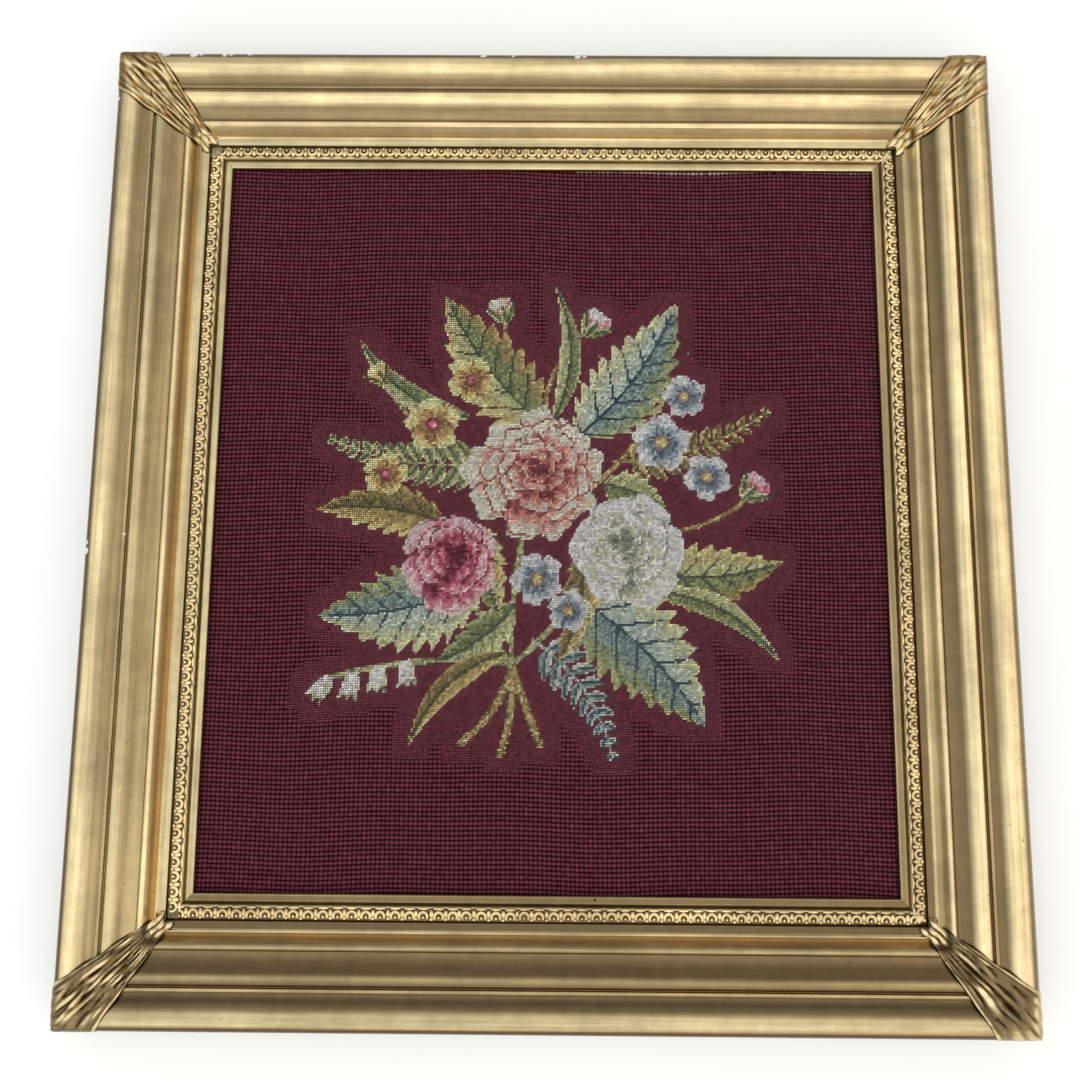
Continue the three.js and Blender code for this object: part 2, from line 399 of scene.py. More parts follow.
def chipped_group(name):
    """Where the gilding is knocked off to its white ground, with ragged edges."""
    group, _, leave = new_group(name, {}, {"Chip": FLOAT})
    coords = object_place(group)
    ragged = add_node(group, "ShaderNodeTexNoise", {"Vector": coords, "Scale": 330.0, "Detail": 3.0})
    shake = vector_maths(group, "SUBTRACT", ragged.outputs["Color"], (0.5, 0.5, 0.5))
    place = vector_maths(group, "MULTIPLY_ADD", shake, (4 * MM, 4 * MM, 4 * MM), coords)
    inside = -1.0
    for x, y, radius in CHIPS:
        reach = max(abs(x) * MM - SIGHT_X, abs(y) * MM - SIGHT_Y)
        apart = vector_maths(group, "DISTANCE", place, (x * MM, y * MM, float(rail_height(reach))))
        inside = maths(group, "MAXIMUM", inside, maths(group, "SUBTRACT", radius * MM, apart))
    chip = maths(group, "MAXIMUM", maths(group, "DIVIDE", inside, 0.3 * MM), 0.0)
    set_inputs(group, leave, {"Chip": maths(group, "MINIMUM", chip, 1.0)})
    return group


GILT_METAL = 0.92
HOLE_COLOUR = srgb(28, 20, 14)
# The outer wall under the moulded face is painted dark as shade: its reach and the heights where the
# painted shade ends
WALL_REACH = 60.0
WALL_SHADE = [(24.4 / 40, 1.0), (26.4 / 40, 0.0)]


def gilt_material(name, tones, span, by="Reach", relief=0.25 * MM, edge=None, chipped=False, hole=None):
    """Gilding whose tone follows the moulding; the tones carry painted highlights and painted shade.

    Tones are (place along it, kind of gold), or four kinds for the sides in the order of SIDE_TURN, which
    paint each side's light, and edge is (reach, kind of gold) for what lies nearer the opening than that.
    With chips, the outer wall is also painted dark as shade.
    """
    look = bpy.context.scene.gilding
    material, tree, shader = new_material(name)
    set_inputs(tree, shader, {"Metallic": GILT_METAL})
    place = use_group(tree, "moulding place", moulding_place_group)
    if by in place.keys():
        share = maths(tree, "DIVIDE", place[by], span)
    else:
        share = add_node(tree, "ShaderNodeAttribute", attribute_name=by).outputs["Fac"]
    tone = None
    for number, side in enumerate(SIDE_TURN):
        stops = [(where / span, getattr(look, (kinds.split() * 4)[number])) for where, kinds in tones]
        if tone is None:
            tone = ramp(tree, share, stops)
        elif any(" " in kinds for _, kinds in tones):
            on_side = maths(tree, "COMPARE", place["Side"], SIDE_CODE[side])
            tone = mix_colour(tree, on_side, tone, ramp(tree, share, stops))
    if edge:
        near = maths(tree, "LESS_THAN", place["Reach"], edge[0])
        tone = mix_colour(tree, near, tone, getattr(look, edge[1]))
    if chipped:
        # Below the moulded face the outer wall is painted dark and less metallic, as painted shade
        low = ramp(tree, maths(tree, "DIVIDE", place["Height"], 40.0), WALL_SHADE)
        wall = maths(tree, "MULTIPLY", low, maths(tree, "GREATER_THAN", place["Reach"], WALL_REACH))
        tone = mix_colour(tree, wall, tone, look.grime)
    gold = {"Tone": tone, "Dull": look.toned, "Dirt": look.grime, "Streak place": place["Streak place"]}
    gilding = use_group(tree, "aged gilding", gilding_group, gold)
    colour = gilding["Color"]
    if chipped:
        chip = use_group(tree, "chipped gilding", chipped_group)["Chip"]
        colour = mix_colour(tree, chip, colour, look.chip)
        metal = maths(tree, "MULTIPLY_ADD", wall, -0.5, GILT_METAL)
        metal = maths(tree, "MULTIPLY", metal, maths(tree, "SUBTRACT", 1.0, chip))
        set_inputs(tree, shader, {"Metallic": metal})
    if hole:
        apart = vector_maths(tree, "DISTANCE", object_place(tree), hole)
        dark = ramp(tree, maths(tree, "DIVIDE", apart, 2 * MM), [(0.25, 1.0), (0.45, 0.0)])
        colour = mix_colour(tree, dark, colour, HOLE_COLOUR)
    set_inputs(tree, shader, {"Base Color": colour, "Roughness": gilding["Roughness"]})
    add_bump(tree, shader, gilding["Height"], relief, 0.6)
    return material


def wool_material(name, gleam):
    """Wool yarn whose colour comes from the stitch it is in."""
    material, tree, shader = new_material(name)
    stitch = add_node(tree, "ShaderNodeAttribute", attribute_name="stitch_colour").outputs["Color"]
    fibres = noise(tree, object_place(tree), 2600.0, 2.0)
    shade = ramp(tree, fibres, [(0.3, 0.7), (0.7, 1.2)])
    look = {
        "Base Color": mix_colour(tree, 1.0, stitch, shade, "MULTIPLY"),
        "Roughness": 0.7,
        "Specular IOR Level": gleam,
        "Sheen Weight": 0.06,
        "Sheen Roughness": 0.6,
    }
    set_inputs(tree, shader, look)
    add_bump(tree, shader, fibres, 0.2 * MM, 0.5)
    return material


def bare_wood_material():
    """Unfinished wood on the back of the frame, brown with age."""
    material, tree, shader = new_material("bare_wood")
    place = use_group(tree, "moulding place", moulding_place_group)
    grain = noise(tree, place["Streak place"], 2.2, 6.0, 0.65)
    browns = [(0.3, srgb(112, 82, 52)), (0.55, srgb(158, 122, 82)), (0.75, srgb(180, 146, 102))]
    set_inputs(tree, shader, {"Base Color": ramp(tree, grain, browns), "Roughness": 0.78})
    add_bump(tree, shader, grain, 0.4 * MM, 0.5)
    return material


# Mouldings


def section_outline(node):
    """The section of a CAD moulding, as (reach, height) points in order round it."""
    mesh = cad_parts[node].data
    places = np.round(vertex_places(mesh), 6)
    uses = {}
    for face in mesh.polygons:
        corners = [tuple(places[index]) for index in face.vertices]
        if all(corner[0] < 0 for corner in corners):
            for a, b in zip(corners, corners[1:] + corners[:1]):
                key = (b, a) if (b, a) in uses else (a, b)
                uses[key] = uses.get(key, 0) + 1
    following = dict(edge for edge, count in uses.items() if count == 1)
    start = min(following)
    chain = [start]
    while following[chain[-1]] != start:
        chain.append(following[chain[-1]])
    return np.array([(y - SIGHT_Y, z) for _, y, z in chain])


def rounded_outline(points, sharp=math.radians(38), edge=0.25 * MM, steps=4):
    """Smooth curves through the section's points, with its sharp arrises very slightly rounded."""
    before = points - np.roll(points, 1, axis=0)
    after = np.roll(before, -1, axis=0)
    cross = before[:, 0] * after[:, 1] - before[:, 1] * after[:, 0]
    is_sharp = np.abs(np.arctan2(cross, (before * after).sum(1))) > sharp
    tangent = before + after
    tangent = tangent / np.linalg.norm(tangent, axis=1, keepdims=True)
    outline = []
    for i, here in enumerate(points):
        j = (i + 1) % len(points)
        run = after[i]
        length = np.linalg.norm(run)
        cut = run * min(edge / length, 0.3)
        start = here + cut * is_sharp[i]
        end = points[j] - cut * is_sharp[j]
        if is_sharp[i]:
            back = here - before[i] * min(edge / np.linalg.norm(before[i]), 0.3)
            outline.append((start + back + 2 * here) / 4)
        first = run if is_sharp[i] else tangent[i] * length
        last = run if is_sharp[j] else tangent[j] * length
        straight = is_sharp[i] and is_sharp[j]
        for share in np.linspace(0, 1, 2 if straight else steps + 1)[:-1]:
            t2, t3 = share**2, share**3
            leaving = (2 * t3 - 3 * t2 + 1) * start + (t3 - 2 * t2 + share) * first
            outline.append(leaving + (3 * t2 - 2 * t3) * end + (t3 - t2) * last)
        if is_sharp[j]:
            outline.append(end)
    return np.array(outline)


def side_sight(side):
    """How far a side's sight edge is from the middle, and half its length."""
    return (SIGHT_Y, SIGHT_X) if side in ("top", "bottom") else (SIGHT_X, SIGHT_Y)


def mitred_moulding(outline, side, cuts, gap=0.15 * MM):
    """Extrudes a section along a side, saws both mitres and turns it to its place."""
    sight, half = side_sight(side)
    far = half + FRAME_REACH + 5 * MM
    deselect()
    bpy.ops.mesh.primitive_circle_add(vertices=len(outline), fill_type="NGON")
    piece = bpy.context.object
    start = np.column_stack([np.full(len(outline), -far), sight + outline[:, 0], outline[:, 1]])
    set_vertex_places(piece.data, start)
    with edit_mode(piece):
        bpy.ops.mesh.extrude_region_move(TRANSFORM_OT_translate={"value": (2 * far, 0, 0)})
        for sign in (-1, 1):
            saw((sign * (half - gap), sight, 0), (sign, -1, 0), clear=True)
        for number in range(1, cuts + 1):
            saw((half * (2 * number / (cuts + 1) - 1), 0, 0), (1, 0, 0))
    transform(piece, side_matrix(side))
    smooth_outward(piece, 30)
    return piece


def paint_back(piece, gilt, lowest_gilt):
    """Gilding on the faces that show, bare wood on the back and in the rebate."""
    piece.data.materials.append(gilt)
    piece.data.materials.append(bpy.data.materials.get("bare_wood") or bare_wood_material())
    for face in piece.data.polygons:
        inward = face.normal.x * face.center.x + face.normal.y * face.center.y < 0
        hidden = face.normal.z < -0.4 or (inward and face.center.z < lowest_gilt)
        face.material_index = 1 if hidden else 0


def mould_sides(part, name, gilt, lowest_gilt):
    """The four lengths of a moulding, in the section of its CAD part."""
    outline = rounded_outline(section_outline(f"{part}_top"))
    for side in SIDE_TURN:
        piece = mitred_moulding(outline, side, cuts=8)
        paint_back(piece, gilt, lowest_gilt)
        place_piece(piece, f"{name}_{side}", f"gilt_{part}", f"{part}_{side}")


# Kinds of gold by reach in millimetres, the same all round or for the top, left, bottom and right sides.
# The bright bands are painted highlights over gilding rubbed on its high parts, the grooves, hollows and
# outer edge are darkened by dirt and painted shade, and the sides differ as painted light: the top and
# left lighter, the bottom darkest.
RAIL_TONES = (
    (14.0, "grime"), (14.5, "pale pale dusk toned"), (17.9, "pale pale dusk toned"), (18.5, "bright"),
    (19.2, "bright"), (19.7, "ochre ochre umber soft"), (22.6, "mellow ochre ochre soft"),
    (23.8, "bright bright pale bright"), (25.9, "bright bright soft bright"),
    (27.6, "mellow soft toned toned"), (34.6, "mellow soft toned toned"),
    (37.4, "bright soft toned bright"), (39.5, "bright pale soft bright"),
    (42.0, "bright pale toned bright"), (43.2, "soft soft grime soft"), (43.9, "mellow mellow umber umber"),
    (44.4, "mellow mellow umber umber"), (44.8, "mellow soft soft soft"), (46.2, "mellow soft soft soft"),
    (46.8, "toned mellow grime umber"), (47.6, "toned mellow dusk toned"), (50.2, "mellow soft dusk toned"),
    (53.8, "bright pale mellow bright"), (57.0, "bright bright pale bright"),
    (61.0, "bright bright pale bright"), (62.4, "toned soft soft soft"), (63.2, "umber umber umber mellow"),
    (64.0, "grime grime grime mellow"),
)


class NEEDLEPOINT_OT_rails(bpy.types.Operator):
    """Four lengths of gilded moulding, mitred at the corners"""

    bl_idname = "needlepoint.rails"
    bl_label = "Rails"

    def execute(self, context):
        gilt = gilt_material("gilt_rails", RAIL_TONES, span=70.0, chipped=True)
        mould_sides("rail", "moulded_rail", gilt, lowest_gilt=11.5 * MM)
        return {"FINISHED"}


# The slip's kinds of gold differ by side as painted light, the top lightest and the bottom darkest, and
# darken under the ornament with dirt and painted shade
SLIP_TONES = (
    (0.0, "toned"), (0.5, "bright pale soft pale"), (1.1, "pale pale toned mellow"),
    (3.2, "pale pale toned mellow"), (3.9, "bright pale mellow pale"), (5.9, "bright soft toned soft"),
    (6.6, "umber"), (13.8, "grime"),
)
NAIL_HOLE = (26 * MM, -SIGHT_Y - 1.7 * MM, 16 * MM)


class NEEDLEPOINT_OT_slip(bpy.types.Operator):
    """The small inner moulding between the rails and the canvas"""

    bl_idname = "needlepoint.slip"
    bl_label = "Slip"

    def execute(self, context):
        gilt = gilt_material("gilt_slip", SLIP_TONES, span=24.0, hole=NAIL_HOLE)
        mould_sides("slip", "slip_moulding", gilt, lowest_gilt=12.9 * MM)
        return {"FINISHED"}


# Ornament


# The flat band under the relief, in shares of its width and crest
BAND_OUTLINE = ((0, 0), (0, 0.5), (0.04, 0.62), (0.13, 0.62), (0.18, 0.3), (0.94, 0.3), (1, 0.2), (1, 0))
# Lumps of one repeat, in shares of its width and crest: place, half sizes and turn in degrees
SCROLL_LUMPS = (
    ((0, 0.74, 0.42), (0.15, 0.16, 0.52), 0),
    ((0, 0.1, 0.5), (0.5, 0.13, 0.5), 0),
    ((0.52, 0.46, 0.36), (0.36, 0.21, 0.64), 90),
    ((0.52, 0.84, 0.36), (0.2, 0.15, 0.58), 0),
)
SCROLL_PITCH = 7.7 * MM


def lobe(place, size, turn):
    """An egg-shaped lump of relief, longest along its own X, turned in the plane."""
    bpy.ops.mesh.primitive_uv_sphere_add(segments=7, ring_count=4, radius=1.0)
    made = bpy.context.object
    spin = Matrix.Rotation(turn, 4, "Z")
    transform(made, Matrix.Diagonal((*size, 1.0)), spin, Matrix.Translation(place))
    return made


def scroll_repeat(width, crest):
    """One repeat of the running ornament: a bead under an arch, a cushion above and a dart beside it."""
    deselect()
    bpy.ops.mesh.primitive_torus_add(
        major_segments=12, minor_segments=5, major_radius=0.325 * width, minor_radius=0.14 * width
    )
    arch = bpy.context.object
    with edit_mode(arch):
        saw((0, 0.14 * width, 0), (0, 1, 0), clear=True)
    stretch = Matrix.Diagonal((1.0, 1.1, 1.0, 1.0))
    transform(arch, stretch, Matrix.Translation((0, 0.68 * width, 0.5 * crest)))
    scale = np.array((width, width, crest))
    lumps = [lobe(scale * place, scale * size, math.radians(turn)) for place, size, turn in SCROLL_LUMPS]
    join(arch, *lumps)
    return arch


def corner_block(place, size):
    """A worn lump over a corner where two strips meet."""
    deselect()
    bpy.ops.mesh.primitive_cube_add(size=2.0)
    made = bpy.context.object
    transform(made, Matrix.Diagonal((*size, 1.0)))
    with edit_mode(made):
        bpy.ops.mesh.bevel(offset=1.1 * MM, segments=3)
    places = vertex_places(made.data)
    set_vertex_places(made.data, places + np.random.default_rng(SEED).normal(0, 0.12 * MM, places.shape))
    transform(made, Matrix.Translation(place))
    return made


class NEEDLEPOINT_OT_ornament(bpy.types.Operator):
    """Pressed strips of running ornament on the slip"""

    bl_idname = "needlepoint.ornament"
    bl_label = "Ornament"

    def execute(self, context):
        rng = np.random.default_rng(SEED)
        inner, width = STRIP_LOW.y - SIGHT_Y, STRIP_HIGH.y - STRIP_LOW.y
        base, crest = STRIP_LOW.z, STRIP_HIGH.z - STRIP_LOW.z
        low = base / MM
        # By height: the low ground darker and the tops bright, as painted shade and painted highlight, and
        # the top and left sides lighter, as painted light
        tones = (
            (low + 0.5, "toned toned umber umber"),
            (low + 0.75, "mellow mellow toned toned"),
            (low + 1.1, "soft soft mellow mellow"),
            (low + 1.6, "bright"),
        )
        lit_edge = (inner / MM - 0.05, "soft")
        gilt = gilt_material("gilt_ornament", tones, 20.0, by="Height", relief=0.5 * MM, edge=lit_edge)
        worn = {}
        # The left corner block is worn to bare composition; the bottom one takes the bottom side's painted
        # shade
        for side, kind in (("left", "bare"), ("bottom", "dusk")):
            kinds = ((0.0, kind), (1.0, kind))
            worn[side] = gilt_material(f"worn_corner_{side}", kinds, 1.0, relief=0.8 * MM)
        outline = np.array(BAND_OUTLINE) * (width + 0.7 * MM, crest) + (inner - 0.3 * MM, base)
        for side in SIDE_TURN:
            sight, half = side_sight(side)
            band = mitred_moulding(outline[::-1], side, cuts=1)
            run = 2 * (half + inner) + 0.24 * width
            count = round(run / SCROLL_PITCH) + 1
            pitch = run / (count - 1)
            repeat = scroll_repeat(width, crest)
            repeat.data.materials.append(gilt)
            fit = Matrix.Scale(pitch / (1.04 * width), 4, (1, 0, 0))
            transform(repeat, fit, Matrix.Translation((-run / 2, sight + inner, base)))
            array = repeat.modifiers.new("along the side", "ARRAY")
            array.count = count
            array.use_relative_offset = False
            array.use_constant_offset = True
            array.constant_offset_displace = (pitch, 0, 0)
            select_only(repeat)
            bpy.ops.object.modifier_apply(modifier=array.name)
            places = vertex_places(repeat.data)
            uneven = np.repeat(rng.normal(0, 1, (count, 3)), len(places) // count, axis=0)
            places += uneven * (0.16 * MM, 0.1 * MM, 0.12 * MM) + rng.normal(0, 0.05 * MM, places.shape)
            places[:, 2] = np.minimum(places[:, 2], STRIP_HIGH.z + 0.1 * MM)
            set_vertex_places(repeat.data, places)
            corner = (half + inner + 0.52 * width, sight + inner + 0.52 * width, base)
            if side in worn:
                block = corner_block(corner, (0.5 * width, 0.5 * width, 0.95 * crest))
            else:
                block = lobe(corner, (0.5 * width, 0.5 * width, 0.92 * crest), 0.4)
            block.data.materials.append(worn.get(side, gilt))
            join(repeat, block)
            transform(repeat, side_matrix(side))
            bpy.ops.object.shade_smooth()
            band.data.materials.append(gilt)
            join(band, repeat)
            place_piece(band, f"running_ornament_{side}", "gilt_ornament", f"ornament_{side}")
        return {"FINISHED"}


# Corner leaves


def rail_height(reach):
    """Height of the moulded face at a reach, from the CAD section."""
    points = section_outline("rail_top")
    face = points[points[:, 1] > 16 * MM]
    face = face[np.lexsort((-face[:, 1], face[:, 0]))]
    return np.interp(reach, face[:, 0], face[:, 1])


# A leaf along its mitre, by reach in millimetres: half its width, its thickness and its folds' depth
LEAF_HALF_WIDTH = (
    (14.3, 16.5, 20.5, 22.5, 26.5, 40, 54, 67.1),
    (5.2, 7.0, 6.6, 6.9, 9.2, 14.0, 19.2, 24.2),
)
LEAF_BODY = (
    (14.3, 15.2, 17.5, 20.5, 22.3, 25.5, 28.5, 36, 60, 67.1),
    (0.8, 1.7, 2.2, 1.6, 1.2, 1.9, 2.3, 2.2, 2.0, 1.2),
)
LEAF_CUT_DEPTH = ((14.3, 22, 27, 34, 58, 67.1), (0.1, 0.4, 1.2, 1.7, 1.8, 0.7))
# Each leaf's brightness, contrast, number of folds, notches at its outer end in millimetres, shine of that
# end and whether it has a knocked spot; the brightness and contrast differ by corner as painted light
LEAF_LOOK = {
    "top_right": (1.0, 1.05, 9, 0.8, 0.4, False),
    "top_left": (0.98, 1.15, 8, 0.8, 0.16, True),
    "bottom_left": (1.0, 1.4, 8, 1.8, 0.6, True),
    "bottom_right": (0.92, 1.5, 6, 2.8, 1.25, False),
}
# Kinds of gold by a leaf's painted light and wear, for the upper and the lower leaves, the lower ones
# darker as painted shade; the darkest kinds are knocked bare spots and the crevices' dirt and painted shade
LEAF_BARE_AND_CREVICE = ((0.0, "bare"), (0.03, "bare"), (0.07, "grime"))
LEAF_TONES = (*LEAF_BARE_AND_CREVICE, (0.18, "umber"), (0.34, "ochre"), (0.52, "soft"), (0.88, "bright"))
LEAF_TONES_LOW = (*LEAF_BARE_AND_CREVICE, (0.16, "dusk"), (0.44, "toned"), (0.66, "mellow"), (0.9, "bright"))


def leaf_strokes(along, across, lanes, rng):
    """The carver's folds: lanes of long rounded ridges, each broken into a few, with crevices between."""
    relief = np.zeros(np.broadcast(along, across).shape)
    for lane in np.linspace(-0.84, 0.84, lanes):
        begin = 0.14 + 0.05 * rng.random()
        while begin < 0.9:
            end = min(begin + rng.uniform(0.16, 0.38), 1.02)
            share = np.clip((along - begin) / (end - begin), 0, 1)
            sway = 0.03 * np.sin(2 * math.pi * share + rng.uniform(0, 6))
            middle = lane + rng.normal(0, 0.025) + rng.normal(0, 0.08) * (share - 0.5) + sway
            profile = np.clip(1 - ((across - middle) * lanes / rng.uniform(0.85, 1.25)) ** 2, 0, 1)
            swell = np.maximum(np.sin(math.pi * share), 0) ** 0.45
            relief = np.maximum(relief, rng.uniform(0.6, 1.1) * np.sqrt(profile) * swell)
            begin = end - 0.07 * rng.random()
    return relief


def leaf_surface(rows, columns, vary, look):
    """Upper and lower points of a corner leaf at +X, +Y, as two grids, and each point's painted light and
    wear.
    """
    bright, contrast, lanes, notch, end_shine, spotted = look
    along = np.linspace(0, 1, rows)[:, None]
    across = np.linspace(1, -1, columns)[None, :]
    between = 1 - np.abs(np.sin(math.pi * (lanes - 1) / 1.68 * (across + 0.84) + math.pi / 2)) ** 0.6
    inner = LEAF_HALF_WIDTH[0][0] * MM
    outer = FRAME_REACH + 0.6 * MM - notch * MM * between * (np.abs(across) < 0.94)
    reach = inner + (outer - inner) * along
    mm = reach / MM
    half = np.interp(mm, *LEAF_HALF_WIDTH) * MM
    body = np.interp(mm, *LEAF_BODY) * MM
    depth = np.interp(mm, *LEAF_CUT_DEPTH) * MM * (0.7 + 0.3 * contrast)
    near = [rail_height(reach + shift * MM) for shift in (-1.2, -0.6, 0, 0.6, 1.2)]
    seat = np.maximum.reduce(near) + 0.35 * MM
    strokes = leaf_strokes(along, across, lanes, np.random.default_rng(SEED + vary))
    spread = smoothstep(21.5, 24.5, mm)
    fan = np.abs(np.cos(1.5 * math.pi * across + 0.4 * np.sin(0.9 * mm + vary))) ** 0.45
    tongue = 1 - smoothstep(20.5, 23.5, mm)
    side = np.abs(across)
    rim = smoothstep(0.9, 0.95, side) * (1 - smoothstep(0.97, 1.0, side))
    relief = spread * depth * (strokes - 0.3) + tongue * (fan - 0.45) * 1.1 * MM
    crown = 1 - side**8
    thick = np.maximum(0.6 * MM + crown * (body - 0.6 * MM + relief) + rim * 0.35 * MM, 0.5 * MM)
    tip = smoothstep(63.0, 67.1, mm)
    pull = tip * np.maximum(1 - side / 0.16, 0) ** 2 * 1.6 * MM
    run = half * side
    drop = tip**2 * 3.2 * MM
    x = SIGHT_X + reach - np.where(across > 0, run, 0) - pull
    y = SIGHT_Y + reach - np.where(across < 0, run, 0) - pull
    upper = np.stack([x, y, seat + thick - drop], -1)
    lower = np.stack([x, y, seat - drop * 0.9], -1)
    end = smoothstep(57.0, 64.5, mm) * (0.75 + 0.15 * np.sin(3 * across + vary))
    # The shine is painted light over rubbed gilding: highlights on the raised strokes, the tongue's lobes
    # and a rim line along each edge, and painted shade in the crevices and in a line just inside each rim
    shine = 0.18 + 0.86 * spread * strokes**1.3 + 0.9 * tongue * fan
    crease = smoothstep(0.78, 0.86, side) * (1 - smoothstep(0.88, 0.93, side))
    shine = shine * (1 - end) * (1 - 0.6 * crease * spread) + end_shine * end + 0.6 * rim
    shine = np.clip(bright * np.clip(shine, 0, 1) ** contrast, 0.08, 1)
    if spotted:
        knocked = np.hypot((mm - 22.2) / 1.9, across / 0.42) < 1
        shine = np.where(knocked, 0.0, shine)
    return upper.reshape(-1, 3), lower.reshape(-1, 3), shine.ravel()


class NEEDLEPOINT_OT_corner_leaves(bpy.types.Operator):
    """Moulded leaves laid over the mitres"""

    bl_idname = "needlepoint.corner_leaves"
    bl_label = "Corner Leaves"

    rows: IntProperty(name="Rows", description="Points along a leaf", default=92, subtype="UNSIGNED")
    columns: IntProperty(name="Columns", description="Points across a leaf", default=85, subtype="UNSIGNED")

    def execute(self, context):
        # The lower leaves take darker kinds of gold, as painted shade
        upper_gilt = gilt_material("gilt_leaves_top", LEAF_TONES, 1.0, by="leaf_light_and_wear", relief=0.5 * MM)
        lower_gilt = gilt_material("gilt_leaves_bottom", LEAF_TONES_LOW, 1.0, by="leaf_light_and_wear", relief=0.5 * MM)
        for vary, (corner, (sign_x, sign_y)) in enumerate(CORNER_SIGNS.items()):
            upper, lower, leaf_light_and_wear = leaf_surface(self.rows, self.columns, vary, LEAF_LOOK[corner])
            deselect()
            bpy.ops.mesh.primitive_grid_add(x_subdivisions=self.columns - 1, y_subdivisions=self.rows - 1)
            piece = context.object
            with edit_mode(piece):
                bpy.ops.mesh.extrude_region_move(TRANSFORM_OT_translate={"value": (0, 0, 1)})
            start = vertex_places(piece.data)
            column = np.rint((start[:, 0] + 1) / 2 * (self.columns - 1)).astype(int)
            row = np.rint((start[:, 1] + 1) / 2 * (self.rows - 1)).astype(int)
            index = row * self.columns + column
            places = np.where(start[:, 2:] > 0.5, upper[index], lower[index])
            set_vertex_places(piece.data, places * (sign_x, sign_y, 1))
            standing = piece.data.attributes.new("leaf_light_and_wear", "FLOAT", "POINT")
            standing.data.foreach_set("value", np.where(start[:, 2] > 0.5, leaf_light_and_wear[index], 0.15))
            smooth_outward(piece, 50)
            piece.data.materials.append(upper_gilt if sign_y > 0 else lower_gilt)
            place_piece(piece, f"moulded_leaf_{corner}", "gilt_leaf", f"corner_leaf_{corner}")
        return {"FINISHED"}


# Canvas


def canvas_level(x, y):
    """Height of the canvas's upper face at places on it, from its CAD sheet."""
    places = vertex_places(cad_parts["needlepoint_canvas"].data)
    grid_x = np.unique(np.round(places[:, 0], 6))
    grid_y = np.unique(np.round(places[:, 1], 6))
    level = np.zeros((len(grid_y), len(grid_x)))
    column = np.searchsorted(grid_x, places[:, 0] - 1e-5)
    row = np.searchsorted(grid_y, places[:, 1] - 1e-5)
    np.maximum.at(level, (row, column), places[:, 2])
    share_x = np.interp(x, grid_x, np.arange(len(grid_x)))
    share_y = np.interp(y, grid_y, np.arange(len(grid_y)))
    i = np.clip(share_x.astype(int), 0, len(grid_x) - 2)
    j = np.clip(share_y.astype(int), 0, len(grid_y) - 2)
    u, v = share_x - i, share_y - j
    low = level[j, i] * (1 - u) + level[j, i + 1] * u
    high = level[j + 1, i] * (1 - u) + level[j + 1, i + 1] * u
    return low * (1 - v) + high * v


def row_waves(x, y, reach):
    """How far the stretched canvas draws the stitches aside, across and up."""
    up = (
        0.55 * np.sin(x / 0.031 + 3.0 * np.sin(y / 0.11))
        + 0.6 * np.sin(x / 0.083 + y / 0.12 + 1.1)
        + 0.25 * np.sin(x / 0.013 + y / 0.05)
    )
    across = 0.5 * np.sin(y / 0.047 + 2.0 * np.sin(x / 0.13)) + 0.3 * np.sin(y / 0.021 + x / 0.07 + 0.4)
    return across * reach * 0.6, up * reach


# Yarns of the flower spray, from light to dark
YARNS = {
    "sage": ((204, 202, 156), (176, 176, 126), (144, 150, 98), (110, 120, 80), (74, 88, 68)),
    "olive": ((212, 194, 134), (184, 162, 100), (150, 132, 74), (114, 102, 58), (82, 78, 54)),
    "teal": ((204, 210, 192), (172, 184, 172), (142, 160, 152), (102, 126, 126), (54, 80, 92)),
    "pink": ((246, 222, 220), (236, 188, 192), (216, 140, 154), (180, 78, 106), (132, 42, 70)),
    "rose": ((240, 190, 194), (220, 132, 148), (188, 80, 108), (146, 44, 74), (104, 28, 54)),
    "coral": ((246, 214, 198), (232, 178, 160), (210, 132, 118), (172, 86, 82), (126, 50, 56)),
    "cream": ((244, 242, 230), (230, 228, 210), (208, 208, 186), (178, 182, 158), (136, 146, 128)),
    "blue": ((220, 224, 222), (194, 204, 206), (162, 174, 184), (124, 138, 156), (84, 98, 122)),
    "yellow": ((228, 206, 142), (210, 182, 114), (188, 156, 92), (158, 122, 70), (118, 82, 54)),
}
# Rings of petals from the outside in: how many, where they start, length, width, light and dark tone
ROSE_RINGS = (
    (6, 0.28, 0.72, 0.98, 0.0, 0.75),
    (5, 0.14, 0.62, 0.82, 0.05, 0.85),
    (4, 0.04, 0.48, 0.64, 0.2, 0.95),
    (3, -0.04, 0.32, 0.44, 0.4, 1.0),
)
PEONY_RINGS = (
    (9, 0.36, 0.64, 0.62, 0.0, 0.7),
    (8, 0.22, 0.58, 0.56, 0.0, 0.85),
    (7, 0.1, 0.48, 0.5, 0.1, 0.9),
    (5, 0.02, 0.36, 0.42, 0.2, 0.95),
    (4, -0.04, 0.24, 0.3, 0.35, 1.0),
)


def polar(place, turn, length):
    """The point that far from a place in a direction."""
    return place[0] + length * math.cos(turn), place[1] + length * math.sin(turn)


